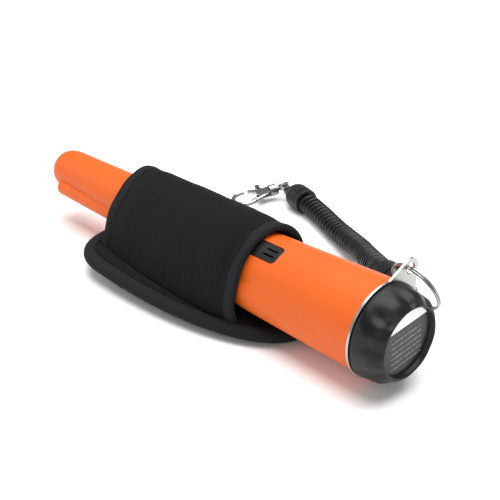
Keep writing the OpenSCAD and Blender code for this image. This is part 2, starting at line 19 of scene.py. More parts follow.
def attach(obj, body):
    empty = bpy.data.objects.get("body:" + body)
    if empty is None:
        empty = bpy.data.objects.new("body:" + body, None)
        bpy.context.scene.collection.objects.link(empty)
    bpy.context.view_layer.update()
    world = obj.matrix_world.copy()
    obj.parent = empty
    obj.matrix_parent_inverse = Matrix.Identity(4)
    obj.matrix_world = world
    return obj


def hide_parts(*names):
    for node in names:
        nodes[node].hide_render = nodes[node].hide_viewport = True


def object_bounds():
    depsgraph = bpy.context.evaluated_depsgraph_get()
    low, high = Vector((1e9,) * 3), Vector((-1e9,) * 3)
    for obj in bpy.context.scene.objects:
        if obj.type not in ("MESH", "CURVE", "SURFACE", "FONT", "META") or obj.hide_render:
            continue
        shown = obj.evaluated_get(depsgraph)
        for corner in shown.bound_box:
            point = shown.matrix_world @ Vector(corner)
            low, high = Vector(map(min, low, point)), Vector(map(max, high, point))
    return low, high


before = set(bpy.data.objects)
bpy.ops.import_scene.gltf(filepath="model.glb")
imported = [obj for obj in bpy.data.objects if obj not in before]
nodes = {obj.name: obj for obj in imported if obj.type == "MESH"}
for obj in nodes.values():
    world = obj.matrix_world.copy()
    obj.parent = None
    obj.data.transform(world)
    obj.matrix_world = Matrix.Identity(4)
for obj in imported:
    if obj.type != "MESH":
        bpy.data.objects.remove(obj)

cad_low, cad_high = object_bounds()
cad_size = [round(1000 * (b - a)) for a, b in zip(cad_low, cad_high)]
print("CAD pieces:", len(nodes), "box in mm:", cad_size)

# %% [markdown]
# ## Sizes that the pieces share
#
# The CAD works in millimetres along the probe from its tip. The scene works in metres
# from the middle of the probe. Two small helpers turn one into the other, so that the numbers
# below read the same as on the drawing.

# %% Stations along the probe
PROBE_LEN = 227.0
AXIS_H = 24.5


def at(s, y=0.0, z=0.0):
    """A point at station s along the probe, y and z millimetres from its axis."""
    return Vector(((s - PROBE_LEN / 2) / 1000, y / 1000, (AXIS_H + z) / 1000))


def mm(x, y, z):
    """A point in millimetres in the row frame."""
    return Vector((x, y, z)) / 1000


print("probe length:", PROBE_LEN, "mm, axis", AXIS_H, "mm above the ground")

# %% [markdown]
# ## Camera
#
# A long lens keeps the taper honest, because a short one would swell the near end. The
# camera stands beyond the cap end and to one side, and looks down at about 28 degrees,
# so that both the cap and the tip show.

# %% Place the camera
LENS_MM = 75.76
CAMERA_PLACE = (0.31196, -0.26936, 0.24257)
CAMERA_LOOKS = (-0.6400, 0.6030, -0.4763)
camera_data = bpy.data.cameras.new("studio_camera")
camera = bpy.data.objects.new("studio_camera", camera_data)
bpy.context.scene.collection.objects.link(camera)
bpy.context.scene.camera = camera
camera_data.sensor_width = 36
camera_data.lens = LENS_MM
camera_data.clip_start, camera_data.clip_end = 0.01, 20
camera.location = CAMERA_PLACE
camera.rotation_mode = "QUATERNION"
camera.rotation_quaternion = Vector(CAMERA_LOOKS).to_track_quat("-Z", "Y")
print("camera", round(camera.location.length, 3), "m from the origin")

# %% [markdown]
# ## Helpers for making meshes
#
# Every soft piece here is a grid of points that is bent into shape, so one helper turns a
# grid into a mesh object and lays a UV map on it in real metres. The weave of the cloth
# can then be drawn at its true size.

# %% Grid to mesh


def add_object(name, mesh):
    obj = bpy.data.objects.new(name, mesh)
    bpy.context.scene.collection.objects.link(obj)
    return obj


def grid_object(name, rows, closed_u=False, closed_v=False, uv=None):
    """rows[v][u] are points in metres. uv(v, u) gives that point's place on the flat cloth."""
    nv, nu = len(rows), len(rows[0])
    mesh = bpy.data.meshes.new(name)
    faces, corners = [], []
    for v in range(nv if closed_v else nv - 1):
        for u in range(nu if closed_u else nu - 1):
            ring = [(v, u), (v, u + 1), (v + 1, u + 1), (v + 1, u)]
            faces.append([(a % nv) * nu + b % nu for a, b in ring])
            corners.append(ring)
    mesh.from_pydata([p for row in rows for p in row], [], faces)
    if uv:
        layer = mesh.uv_layers.new(name="flat")
        k = 0
        for ring in corners:
            for a, b in ring:
                layer.data[k].uv = uv(a, b)
                k += 1
    mesh.shade_smooth()
    return add_object(name, mesh)


def tube_along(name, path, radius, sides=10, closed=False):
    """A round tube along points in metres; radius is a number or one per point."""
    n = len(path)
    rows = []
    side = None
    for i, p in enumerate(path):
        a = path[(i - 1) % n] if closed or i else path[0]
        b = path[(i + 1) % n] if closed or i < n - 1 else path[-1]
        t = (b - a).normalized()
        side = (side - t * side.dot(t)).normalized() if side else t.orthogonal().normalized()
        other = t.cross(side)
        r = radius[i] if hasattr(radius, "__len__") else radius
        rows.append([p + (side * math.cos(g) + other * math.sin(g)) * r
                     for g in (2 * math.pi * k / sides for k in range(sides))])
    return grid_object(name, rows, closed_u=True, closed_v=closed)


def cap_ends(obj):
    """Close the open ends of a tube."""
    bm = bmesh.new()
    bm.from_mesh(obj.data)
    bmesh.ops.holes_fill(bm, edges=[e for e in bm.edges if e.is_boundary])
    bmesh.ops.recalc_face_normals(bm, faces=bm.faces)
    bm.to_mesh(obj.data)
    bm.free()
    return obj


def smooth_through(points, per):
    """More points along a smooth curve that passes through the given ones."""
    out = []
    n = len(points)
    for i in range(n - 1):
        p0, p1 = points[max(0, i - 1)], points[i]
        p2, p3 = points[i + 1], points[min(n - 1, i + 2)]
        for k in range(per):
            t = k / per
            out.append(0.5 * ((2 * p1) + (p2 - p0) * t + (2 * p0 - 5 * p1 + 4 * p2 - p3) * t * t
                              + (3 * p1 - p0 - 3 * p2 + p3) * t ** 3))
    out.append(points[-1].copy())
    return out


def path_length(points):
    return sum((b - a).length for a, b in zip(points, points[1:]))


print("mesh helpers ready")

# %% [markdown]
# ## The coiled lanyard
#
# A curly lanyard is a plastic cord that was wound on a rod and heated, so it keeps its
# turns and pulls out like a spring. It could be faked with a bumpy tube, but the light
# between the turns gives that away. So a loop walks along the centre line and turns a
# point round it, and a round section is swept along it. The length follows from the turns.

# %% Centre line of the coil
LANYARD_ROUTE = [mm(*p) for p in [
    (72.8, 33.9, 24.4), (69, 36.9, 22.9), (65, 40.2, 20.9), (60, 44.3, 18.6), (50.5, 51, 15.4),
    (43, 56.3, 13), (35, 62, 10.6), (27, 66.7, 8.6), (18.5, 71, 7), (8.5, 75, 6.2), (-1, 78.9, 6),
    (-8, 81.7, 6), (-15, 84, 6.1), (-22.5, 86, 6.6)]]
CORD_D = 0.0027
CORD_SIDES = 9
TURNS = 35
TURN_R = 0.00405
centre_line = smooth_through(LANYARD_ROUTE, 12)
coil_reach = path_length(centre_line)
pitch = round(1000 * coil_reach / TURNS, 2)
print("coil reach:", round(1000 * coil_reach, 1), "mm, pitch:", pitch, "mm")

# %% Wind the cord round it


def along(points, distance):
    """The point at that distance, and the direction there."""
    for a, b in zip(points, points[1:]):
        step = (b - a).length
        if distance <= step:
            return a.lerp(b, distance / step), (b - a).normalized()
        distance -= step
    return points[-1].copy(), (points[-1] - points[-2]).normalized()


def wind(points, turns, radius, per_turn=16):
    total = path_length(points)
    out = []
    for i in range(turns * per_turn + 1):
        p, t = along(points, total * i / (turns * per_turn))
        side = t.cross(Vector((0, 0, 1))).normalized()
        up = side.cross(t)
        g = 2 * math.pi * i / per_turn
        out.append(p + (side * math.cos(g) + up * math.sin(g)) * radius)
    return out


turn_points = wind(centre_line, TURNS, TURN_R)
cord_length = path_length(turn_points)
lanyard_cord = cap_ends(tube_along("lanyard_cord", turn_points, CORD_D / 2, CORD_SIDES))
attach(lanyard_cord, "lanyard")
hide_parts("lanyard_coil")
print("cord length:", round(1000 * cord_length), "mm in", TURNS, "turns")

# %% [markdown]
# ## Wiring finishes as sums
#
# A finish is a small graph of nodes. Building it link by link is long and hard to read, so
# one class wraps a socket and lets plain Python arithmetic add the nodes. Colours and
# vectors need their own nodes, because a Math node would turn them into one number.

# %% The socket class


class Wire:
    """One output socket of a finish. Arithmetic on it adds Math or Vector Math nodes."""

    def __init__(self, finish, socket):
        self.finish, self.socket = finish, socket

    def sum_of(self, kind, a, b):
        both = [x for x in (a, b) if isinstance(x, Wire)]
        if any(x.socket.type in ("VECTOR", "RGBA") for x in both):
            b = b if isinstance(b, (Wire, tuple)) else (b, b, b)
            return self.finish.add("ShaderNodeVectorMath", {"operation": kind}, {0: a, 1: b})
        return self.finish.add("ShaderNodeMath", {"operation": kind}, {0: a, 1: b})

    def __add__(self, other): return self.sum_of("ADD", self, other)
    def __radd__(self, other): return self.sum_of("ADD", other, self)
    def __sub__(self, other): return self.sum_of("SUBTRACT", self, other)
    def __rsub__(self, other): return self.sum_of("SUBTRACT", other, self)
    def __mul__(self, other): return self.sum_of("MULTIPLY", self, other)
    def __rmul__(self, other): return self.sum_of("MULTIPLY", other, self)
    def above(self, edge): return self.sum_of("GREATER_THAN", self, edge)
    def below(self, edge): return self.sum_of("LESS_THAN", self, edge)
    def sine(self): return self.finish.add("ShaderNodeMath", {"operation": "SINE"}, {0: self})
    def size(self): return self.finish.add("ShaderNodeMath", {"operation": "ABSOLUTE"}, {0: self})


print("sockets add, subtract, multiply and compare")

# %% [markdown]
# A finish holds the material, its main shader and one method that adds any other node.
# Values that are the same all over the surface are set straight on the shader. Only what
# changes over the surface is wired.

# %% The finish class


class Finish:
    made = {}

    def __init__(self, name, **constant):
        self.material = bpy.data.materials.new(name)
        self.material.use_nodes = True
        self.tree = self.material.node_tree
        self.shader = self.tree.nodes["Principled BSDF"]
        for socket, value in constant.items():
            title = socket.replace("_", " ").title().replace("Ior", "IOR")
            self.shader.inputs[title].default_value = value
        Finish.made[name] = self

    def add(self, kind, settings=None, values=None, out=0):
        """Adds a node: its type, its settings, its sockets' values or links."""
        made = self.tree.nodes.new(kind)
        for key, value in (settings or {}).items():
            if key == "stops":
                while len(made.color_ramp.elements) < len(value):
                    made.color_ramp.elements.new(0.5)
                for element, (place, colour) in zip(made.color_ramp.elements, value):
                    element.position, element.color = place, (*colour, 1)
            else:
                setattr(made, key, value)
        for key, value in (values or {}).items():
            if isinstance(value, Wire):
                self.tree.links.new(value.socket, made.inputs[key])
            else:
                made.inputs[key].default_value = value
        return Wire(self, made.outputs[out])

    def feed(self, socket, wire):
        self.tree.links.new(wire.socket, self.shader.inputs[socket])

    def place(self):
        """Where a point of the piece is, in metres."""
        return self.add("ShaderNodeTexCoord", out="Object")

    def flat(self):
        """Where a point of a sewn piece is on the flat cloth, in metres."""
        return self.add("ShaderNodeUVMap", {"uv_map": "flat"})

    def part(self, wire, axis):
        return self.add("ShaderNodeSeparateXYZ", values={0: wire}, out=axis)

    def noise(self, where, scale, detail=3, rough=0.55):
        return self.add("ShaderNodeTexNoise", {"noise_dimensions": "3D"},
                        {"Vector": where, "Scale": scale, "Detail": detail, "Roughness": rough})

    def blend(self, factor, a, b):
        return self.add("ShaderNodeMix", {"data_type": "RGBA"}, {0: factor, 6: a, 7: b}, out=2)

    def bump(self, height, distance, strength=1.0):
        made = self.add("ShaderNodeBump", values={"Height": height, "Distance": distance,
                                                  "Strength": strength})
        self.feed("Normal", made)


def rgb(red, green, blue):
    """A screen colour from 0 to 255, as the shader's linear colour."""
    return tuple((c / 255 / 12.92) if c < 10 else ((c / 255 + 0.055) / 1.055) ** 2.4
                 for c in (red, green, blue)) + (1.0,)


def dress(name, *pieces):
    """Give pieces a finish, in every material slot they have."""
    for piece in pieces:
        obj = nodes[piece] if isinstance(piece, str) else piece
        obj.data.materials.clear()
        obj.data.materials.append(Finish.made[name].material)


print("finish class ready")

# %% [markdown]
# ## Moulded orange housing
#
# The housing is a bright orange plastic with a fine satin texture from the mould. An image
# would have to be wrapped round the taper, and one flat colour would look unreal. Two
# layers of noise do it instead: a very fine one for the grain, and a broad faint one that
# moves the colour and the shine a little, as handling does.

# %% Orange shell
shell = Finish("orange_shell", specular_ior_level=0.22)
spot = shell.place()
broad = shell.noise(spot, 38, 2)
grain = shell.noise(spot, 2600, 2)
shell.feed("Base Color", shell.blend(broad, rgb(203, 84, 21), rgb(210, 94, 27)))
shell.feed("Roughness", 0.40 + broad * 0.12)
shell.bump(grain, 0.00006, 0.5)
dress("orange_shell", "housing_shell", "scraping_blade")
print("shell finished")

# %% [markdown]
# ## Black rubber and black plastics
#
# The cap is soft rubber that picks up dust and thumb marks, so its shine varies in
# blotches. The control pad is the same rubber, cleaner. The sockets of the lanyard are
# plain moulded plastic, and the cord itself is a smooth, slightly glossy plastic. Each
# could be built alone, but they differ only in a few numbers, so one helper makes them.

# %% Rubber


def rubber(name, dark, light, rough, blotch, marks):
    made = Finish(name, specular_ior_level=0.22)
    where = made.place()
    cloud = made.noise(where, blotch, 4, 0.6)
    worn = made.add("ShaderNodeMapRange", values={"Value": cloud, "From Min": 0.42, "From Max": 0.68})
    made.feed("Base Color", made.blend(worn, dark, light))
    made.feed("Roughness", rough + worn * marks)
    made.bump(made.noise(where, 1900, 3), 0.00005, 0.6)


rubber("cap_rubber", rgb(15, 16, 16), rgb(40, 43, 42), 0.32, 95, 0.26)
rubber("pad_rubber", rgb(22, 23, 24), rgb(31, 33, 34), 0.5, 140, 0.08)
rubber("socket_plastic", rgb(18, 19, 20), rgb(30, 31, 32), 0.34, 120, 0.12)
rubber("cord_plastic", rgb(19, 20, 21), rgb(29, 30, 32), 0.3, 60, 0.1)
rubber("inner_plastic", rgb(36, 38, 41), rgb(46, 49, 52), 0.45, 90, 0.1)
dress("cap_rubber", "cap_oring")
dress("pad_rubber", "control_pad", "power_button")
dress("socket_plastic", "near_socket", "near_clamp", "far_socket", "far_clamp")
dress("cord_plastic", lanyard_cord)
dress("inner_plastic", "cap_core", "thread_collar", "chassis", "core_spacer", "pressure_plate",
      "tact_switch")
print("rubber and plastics finished")

# %% [markdown]
# ## The rubber boot of the cap
#
# The cap is a hard threaded core with a soft boot stretched over it. Nine broad hollows
# round its edge give the fingers a grip. They are deepest at the face and die away
# towards the plate. Nine cuts with a round cutter would leave sharp edges on soft rubber,
# so each ring of points is pulled in by a smooth wave, which grows towards the face.

# %% Loft the boot
BOOT_PROFILE = [(222.9, 0.05), (222.9, 16.93), (213.95, 16.93), (213.9, 19.2), (214.1, 19.65),
                (214.6, 19.85), (216, 19.75), (218, 19.5), (220, 19.3), (221.6, 19.1),
                (222.8, 18.8), (223.9, 18.2),
                (224.9, 17.5), (225.8, 16.7), (226.5, 16), (226.9, 15.4), (227, 15), (226.9, 14.65),
                (226.5, 14.4), (224.9, 14.3), (224.72, 14.1), (224.7, 0.05)]
HOLLOWS = 9
HOLLOW_DEPTH = 1.45
HOLLOWS_START, HOLLOWS_FULL = 215, 223.5
RIM_R = 15.2
BOOT_SIDES = 216


def hollow(s, r, g):
    """How far the boot is pulled in at station s and angle g."""
    if r < RIM_R or s < HOLLOWS_START:
        return 0.0
    grow = min(1.0, (s - HOLLOWS_START) / (HOLLOWS_FULL - HOLLOWS_START))
    wave = 0.5 + 0.5 * math.cos(HOLLOWS * (g - math.radians(20)))
    return HOLLOW_DEPTH * grow * grow * (3 - 2 * grow) * wave ** 1.6 * min(1.0, (r - RIM_R) / 1.5)


boot_rows = []
for s, r in BOOT_PROFILE:
    row = []
    for k in range(BOOT_SIDES):
        g = 2 * math.pi * k / BOOT_SIDES
        reach = r - hollow(s, r, g)
        row.append(at(s, reach * math.sin(g), -reach * math.cos(g)))
    boot_rows.append(row)
cap_boot = cap_ends(grid_object("cap_boot", boot_rows, closed_u=True))
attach(cap_boot, "cap")
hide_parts("battery_cap")
dress("cap_rubber", cap_boot, "battery_cap")
print("boot with", HOLLOWS, "hollows")

# %% [markdown]
# ## The split ring
#
# A key ring is one hard wire wound twice and pressed flat, so its two coils touch and
# step past each other at one place. The CAD has a plain ring there. Here a path goes
# round twice, and moves sideways by one wire over a short part of the way.

# %% Coil the key ring
RING_R, RING_WIRE = 11.5, 0.94
EAR_HOLE = mm(99.8, 14.204, 45.798)
RING_STEP_AT, RING_STEP_HALF = 2.4, math.radians(24)
RING_STEPS = 240
ring_place = (Matrix.Translation(EAR_HOLE) @ Matrix.Rotation(math.radians(85.6), 4, "Z")
              @ Matrix.Rotation(math.radians(63.7), 4, "Y") @ Matrix.Rotation(math.radians(3.1), 4, "Z"))
ring_path = []
for k in range(RING_STEPS + 1):
    g = 4 * math.pi * k / RING_STEPS
    step = max(-1.0, min(1.0, (g - 2 * math.pi) / RING_STEP_HALF))
    turn = g + RING_STEP_AT
    ring_path.append(ring_place @ mm(RING_R + RING_R * math.cos(turn), RING_R * math.sin(turn),
                                     RING_WIRE / 2 * math.sin(step * math.pi / 2)))
split_coil = cap_ends(tube_along("split_coil", ring_path, RING_WIRE / 2000, 12))
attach(split_coil, "split_ring")
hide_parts("key_ring")
print("split ring wire:", round(1000 * path_length(ring_path)), "mm")

# %% [markdown]
# ## Steel
#
# The lanyard plate is stamped sheet, so its scratches run one way. The rings and the
# clasp are nickel plated and tumbled, so they shine more and have only small marks. An
# image of brushed metal would show a seam on a bent wire. Noise has none, and squeezing
# its scale along one axis turns its spots into scratches.

# %% Plated and stamped steel


def steel(name, tone, rough, stretch, depth):
    made = Finish(name, metallic=1.0)
    where = made.add("ShaderNodeMapping", values={"Vector": made.place(), "Scale": stretch})
    scratch = made.noise(where, 900, 4, 0.7)
    cloud = made.noise(made.place(), 120, 2)
    made.feed("Base Color", made.blend(cloud, tone, tuple(c * 0.82 for c in tone[:3]) + (1,)))
    made.feed("Roughness", rough + scratch * 0.16)
    made.bump(scratch, depth, 0.5)


steel("plate_steel", rgb(176, 177, 173), 0.22, (1, 1, 0.12), 0.00003)
steel("plated_steel", rgb(160, 160, 157), 0.16, (1, 1, 1), 0.00002)
dress("plate_steel", "lanyard_plate")
dress("plated_steel", split_coil, "key_ring", "link_ring", "near_eye", "clasp_swivel", "clasp_body",
      "clasp_lever", "lever_pin", "cap_spring", "board_screw_front", "board_screw_rear",
      "battery_terminals", "motor_weight")
print("steel finished")

# %% [markdown]
# ## The pieces inside
#
# Nobody sees these unless the probe is opened. One grey would do for all of them, but
# then an open view would teach nothing, so each has its own finish: solder mask, copper
# wire, ferrite, a battery jacket.

# %% Inner finishes


def plain(name, a, b, rough, scale, **constant):
    made = Finish(name, **constant)
    cloud = made.noise(made.place(), scale, 3)
    made.feed("Base Color", made.blend(cloud, a, b))
    made.feed("Roughness", rough + cloud * 0.12)
    return made


plain("solder_mask", rgb(24, 92, 58), rgb(34, 118, 74), 0.3, 500)
plain("chip_epoxy", rgb(20, 21, 22), rgb(34, 35, 36), 0.5, 900)
plain("trimmer_plastic", rgb(38, 90, 170), rgb(50, 106, 190), 0.35, 400)
plain("ferrite", rgb(62, 63, 66), rgb(82, 83, 86), 0.6, 700)
plain("bobbin_nylon", rgb(214, 208, 190), rgb(226, 220, 204), 0.45, 200)
plain("battery_jacket", rgb(52, 56, 61), rgb(64, 68, 73), 0.3, 60, metallic=0.3)
plain("motor_can", rgb(176, 179, 182), rgb(196, 198, 200), 0.25, 300, metallic=1.0)
plain("lens_plastic", rgb(225, 232, 236), rgb(240, 244, 246), 0.06, 90, transmission_weight=0.85)
wire = Finish("copper_wire", metallic=0.6)
# Each turn is painted lighter on its crest and darker in the groove between turns, following the same
# wave as the bump: a painted highlight and painted shade, not a change in the copper.
turn = (wire.part(wire.place(), "X") * 12000).sine() * 0.5 + 0.5
wire.feed("Base Color", wire.blend(turn, rgb(120, 58, 28), rgb(196, 112, 62)))
wire.feed("Roughness", 0.3 + turn * 0.1)
wire.bump(turn, 0.0001)
dress("solder_mask", "circuit_board", "contact_board")
dress("chip_epoxy", "controller_chip")
dress("trimmer_plastic", "trimmer")
dress("ferrite", "ferrite_core")
dress("bobbin_nylon", "coil_bobbin")
dress("battery_jacket", "battery", "capacitor")
dress("motor_can", "motor_body", "speaker")
dress("lens_plastic", "led_lens", "led")
dress("copper_wire", "drive_winding", "sense_winding")
print("inner finishes:", len(Finish.made))

# %% [markdown]
# ## Label in the cap
#
# A round printed film lies in a recess of the cap. Its top part is a white field, and
# the rest is black with faint grey lines. A printed image could hold it, but a finish
# needs no file, so it draws the field and some plain bars from distances across the disc.

# %% Cap label
WHITE_FROM, BARS_TOP, BARS_BOTTOM, BARS_HALF = 0.0072, 0.0052, -0.0096, 0.0088
BAR_WAVE = 2600
label = Finish("label_film", specular_ior_level=0.3, coat_weight=0.1, coat_roughness=0.2)
centre = label.place() - tuple(at(224.8))
tilt = math.radians(5.9)
across = label.part(centre, "Y") * math.cos(tilt) + label.part(centre, "Z") * math.sin(tilt)
up = label.part(centre, "Z") * math.cos(tilt) - label.part(centre, "Y") * math.sin(tilt)
white = up.above(WHITE_FROM)
bars = (up * BAR_WAVE).sine().above(0.55) * up.below(BARS_TOP) * up.above(BARS_BOTTOM)
bars = bars * across.size().below(BARS_HALF)
broken = label.noise(label.place(), 1500, 2).above(0.47)
ink = label.blend(bars * broken, rgb(17, 18, 19), rgb(112, 116, 116))
label.feed("Base Color", label.blend(white, ink, rgb(238, 238, 234)))
label.feed("Roughness", 0.32 + label.noise(label.place(), 300, 2) * 0.12)
dress("label_film", "cap_label")
print("label finished")

# %% [markdown]
# ## Nylon cloth of the holster
#
# The sleeve is coarse ribbed nylon. Its ribs run across the sleeve about one millimetre
# apart and each is a row of twisted threads. Sine waves on the flat cloth's own
# coordinates give ribs of an even width, and a little noise breaks them up. The binding
# tape has finer ribs, and those of the belt loop's webbing slant the most.

# %% Woven finishes


def woven(name, dark, light, rib_u, rib_v, depth, rough=0.78, slant=0.0):
    made = Finish(name, specular_ior_level=0.07, sheen_weight=0.02, sheen_roughness=0.5)
    where = made.flat()
    wander = made.noise(where, 260, 2) * 0.00035
    u = made.part(where, "X") + wander
    v = made.part(where, "Y") + wander
    warp = ((u + v * slant) * (2 * math.pi / rib_u)).sine() * 0.5 + 0.5
    weft = ((v - u * slant) * (2 * math.pi / rib_v)).sine() * 0.5 + 0.5
    thread = warp * 0.7 + weft * warp * 0.3
    dust = made.noise(made.place(), 70, 4, 0.65)
    # The colour follows the rib height: the crests of the threads are painted lighter and the grooves
    # between them darker, as painted highlight and painted shade. The dust noise adds a random tone on
    # top.
    made.feed("Base Color", made.blend(thread * 0.75 + dust * 0.25, dark, light))
    made.feed("Roughness", rough + dust * 0.12)
    made.bump(thread + made.noise(where, 3000, 2) * 0.3, depth)


woven("sleeve_cloth", rgb(4, 5, 5), rgb(30, 31, 32), 0.0013, 0.0007, 0.00028, slant=0.35)
woven("panel_cloth", rgb(11, 12, 13), rgb(30, 32, 34), 0.0011, 0.0008, 0.0002, slant=0.35)
woven("binding_tape", rgb(15, 16, 17), rgb(42, 45, 47), 0.00085, 0.0026, 0.00012)
woven("loop_webbing", rgb(13, 14, 15), rgb(34, 36, 38), 0.0014, 0.0022, 0.00018, slant=0.6)
woven("edge_tape", rgb(20, 21, 22), rgb(37, 39, 41), 0.0009, 0.0021, 0.00004)
plain("seam_thread", rgb(8, 8, 9), rgb(20, 21, 22), 0.8, 1200, specular_ior_level=0.05)
print("woven finishes ready")

# %% [markdown]
# ## Stitches
#
# A seam on a holster is a lock stitch: short raised threads in a line with a small gap
# between them. Stitches that are only drawn look flat, so each one is a little rounded
# thread, half sunk in the cloth. One helper lays a row of them along any line.

# %% Stitch helper


def stitch_row(name, path, body, length=0.0021, gap=0.0009, thick=0.0003):
    verts, faces = [], []
    total = path_length(path)
    count = int(total / (length + gap))
    for i in range(count):
        ring_at = []
        for k, fat in enumerate((0.25, 0.85, 1.0, 0.85, 0.25)):
            p, t = along(path, total * (i + 0.15) / count + length * k / 4)
            side = t.orthogonal().normalized()
            other = t.cross(side)
            ring_at.append(len(verts))
            verts += [p + (side * math.cos(g) + other * math.sin(g)) * thick * fat
                      for g in (math.pi * q / 3 for q in range(6))]
        for a, b in zip(ring_at, ring_at[1:]):
            faces += [[a + q, a + (q + 1) % 6, b + (q + 1) % 6, b + q] for q in range(6)]
        faces += [[ring_at[0] + q for q in range(5, -1, -1)], [ring_at[-1] + q for q in range(6)]]
    mesh = bpy.data.meshes.new(name)
    mesh.from_pydata(verts, [], faces)
    mesh.shade_smooth()
    made = add_object(name, mesh)
    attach(made, body)
    dress("seam_thread", made)


print("stitch helper ready")

# %% [markdown]
# ## The sleeve
#
# The sleeve is a strip of padded cloth, sewn along both sides to the panel. It stands
# high over the thin end of the probe and is stretched tight over the thick end. Cloth
# could be draped by a simulation, but that is slow and hard to steer. Its shape here is
# a loft between two outlines, one at each mouth. Padded cloth is never quite smooth, so
# soft noise moves the surface in and out by a few tenths of a millimetre.

# %% Outline of the sleeve
FRONT_MOUTH, REAR_MOUTH, TAPE_W = 62.5, 152.0, 7.5
OUTLINE_FRONT = [(-22.3, -12.9), (-20.2, -7.5), (-18.2, -0.5), (-15.4, 4.7), (-10.9, 9.8),
                 (-5.8, 14.4), (2.6, 17.7), (8.6, 16.2), (14, 11.6), (17.8, 5.4), (20, -1),
                 (21.6, -7.5), (23.2, -12.9)]
OUTLINE_REAR = [(-20.6, -16.9), (-22.2, -9.5), (-21, -2.5), (-18.8, 5), (-15.4, 11.2), (-9.2, 16.8),
                (0.6, 19.7), (8.6, 18.2), (15.2, 13.6), (19.4, 7), (21.2, -1.5), (21.8, -9),
                (20.4, -16.9)]
FOOT_BOW = [3.2, 1.4, 0.4, 0, 0, 0, 0, 0, 0, 0, -0.4, -1.4, -3.2]
POINTS_BETWEEN = 6
ACROSS = POINTS_BETWEEN * (len(FOOT_BOW) - 1)


def arch_at(s, out=0.0):
    """Points across the sleeve at station s, from the foot at -Y to the foot at +Y.
    out moves them outwards in mm, and may be a function of the share of the way across."""
    k = (s - FRONT_MOUTH) / (REAR_MOUTH - FRONT_MOUTH)
    bow = math.sin(math.pi * max(0.0, min(1.0, k)))
    ring = [at(s, a[0] * (1 - k) + b[0] * k - f * bow, a[1] * (1 - k) + b[1] * k)
            for a, b, f in zip(OUTLINE_FRONT, OUTLINE_REAR, FOOT_BOW)]
    fine = smooth_through(ring, POINTS_BETWEEN)
    lifted = []
    for i, p in enumerate(fine):
        t = fine[min(i + 1, len(fine) - 1)] - fine[max(i - 1, 0)]
        n = Vector((0, -t.z, t.y)).normalized()
        lifted.append(p + n * (out(i / ACROSS) if callable(out) else out) / 1000)
    return lifted


def cloth_swell(s):
    """How far the padding pushes the cloth out, which is least beside the sewn tapes."""
    edge = min(1.0, (s - FRONT_MOUTH - TAPE_W) / 7, (REAR_MOUTH - TAPE_W - s) / 7)
    lift = -0.95 + 0.75 * math.sin(max(0.0, edge) * math.pi / 2)

    def swell(k):
        broad = 0.35 * noise.noise(Vector((s / 17, k * 4.3, 1.7)))
        return lift + broad + 0.1 * noise.noise(Vector((s / 5, k * 11, 4.2)))
    return swell


SLEEVE_STEPS = 72
CLOTH_INSET = 1.2
# These two are in metres: how thick the padded cloth is, and how long it is modelled.
CLOTH_T = 0.0014
SLEEVE_LEN = 0.0871
sleeve_rows = []
for i in range(SLEEVE_STEPS + 1):
    s = FRONT_MOUTH + CLOTH_INSET + (REAR_MOUTH - FRONT_MOUTH - 2 * CLOTH_INSET) * i / SLEEVE_STEPS
    sleeve_rows.append(arch_at(s, cloth_swell(s)))
sleeve_width = sum(path_length(row) for row in sleeve_rows) / len(sleeve_rows)
sleeve = grid_object("sleeve", sleeve_rows,
                     uv=lambda v, u: (v * SLEEVE_LEN / SLEEVE_STEPS, u * sleeve_width / ACROSS))
thick = sleeve.modifiers.new("padding", "SOLIDIFY")
thick.thickness, thick.offset = CLOTH_T, -1
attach(sleeve, "holster")
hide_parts("holster_sleeve")
dress("sleeve_cloth", sleeve)

# %% [markdown]
# ## Binding tape at the mouths
#
# Each mouth is bound with a woven tape that is folded over the raw edge. In section it is
# a flat U: the outer leg lies on the sleeve, the fold is round, and the inner leg is
# hidden. A strip that is only thickened has no round fold, so one outline of the section
# is swept from foot to foot instead, and a row of stitches holds its free edge down.

# %% Fold tape over both mouths


def tape_section(reach):
    """(along the probe, out from the sleeve) in mm. The fold is at 0, the legs run to reach."""
    fold = [(1.6 - 1.9 * math.cos(a), 1.65 * math.sin(a) - 0.75) for a in
            [math.radians(d) for d in range(-80, 81, 16)]]
    inner = [(reach, -2.05), (reach * 0.5, -2.05)]
    outer = [(reach * 0.36, 0.75), (reach * 0.55, 0.6), (reach - 1.9, 0.42), (reach - 1.2, 0.22),
             (reach - 0.7, 0.42), (reach - 0.15, 0.3), (reach, -0.7)]
    return inner + fold + outer


def bind_mouth(name, mouth, direction):
    section = tape_section(TAPE_W)
    rings = [arch_at(mouth + direction * along_x, out) for along_x, out in section]
    rows = [[ring[i] for ring in rings] for i in range(len(rings[0]))]
    lengths = [0.0]
    for a, b in zip(section, section[1:]):
        lengths.append(lengths[-1] + math.dist(a, b) / 1000)
    step = path_length(arch_at(mouth)) / (len(rows) - 1)
    made = grid_object(name, rows, uv=lambda v, u: (v * step, lengths[u]))
    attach(made, "holster")
    dress("binding_tape", made)
    stitch_row(name + "_stitches", arch_at(mouth + direction * (TAPE_W - 1.2), 0.34), "holster")
    return made


front_tape = bind_mouth("front_tape", FRONT_MOUTH, 1)
rear_tape = bind_mouth("rear_tape", REAR_MOUTH, -1)
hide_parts("front_binding")
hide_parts("rear_binding")
print("two mouths bound")

# %% [markdown]
# ## Back panel
#
# The panel is two layers of cloth with foam between. It is flat where the probe presses
# on it and swells beside it. It follows the underside of the probe, so it slopes as the
# probe tapers. From above it is an egg: blunt in front, with a long taper behind. A flat
# shape with a thickness would have hard corners, so it is built from rings of points that
# start at the outline and step inwards, which lets the cloth swell softly.

# %% Panel outline and pad
PANEL_T = 4.2
PANEL_HW = 30.1
PANEL_WIDEST = 80
PANEL_FRONT, PANEL_REAR = 22, 88
OUTLINE_STEPS = 60


def panel_z(s):
    """Height of the panel's top at station s, from the probe's axis."""
    return -(9.3 + 0.0472 * s) - 0.7


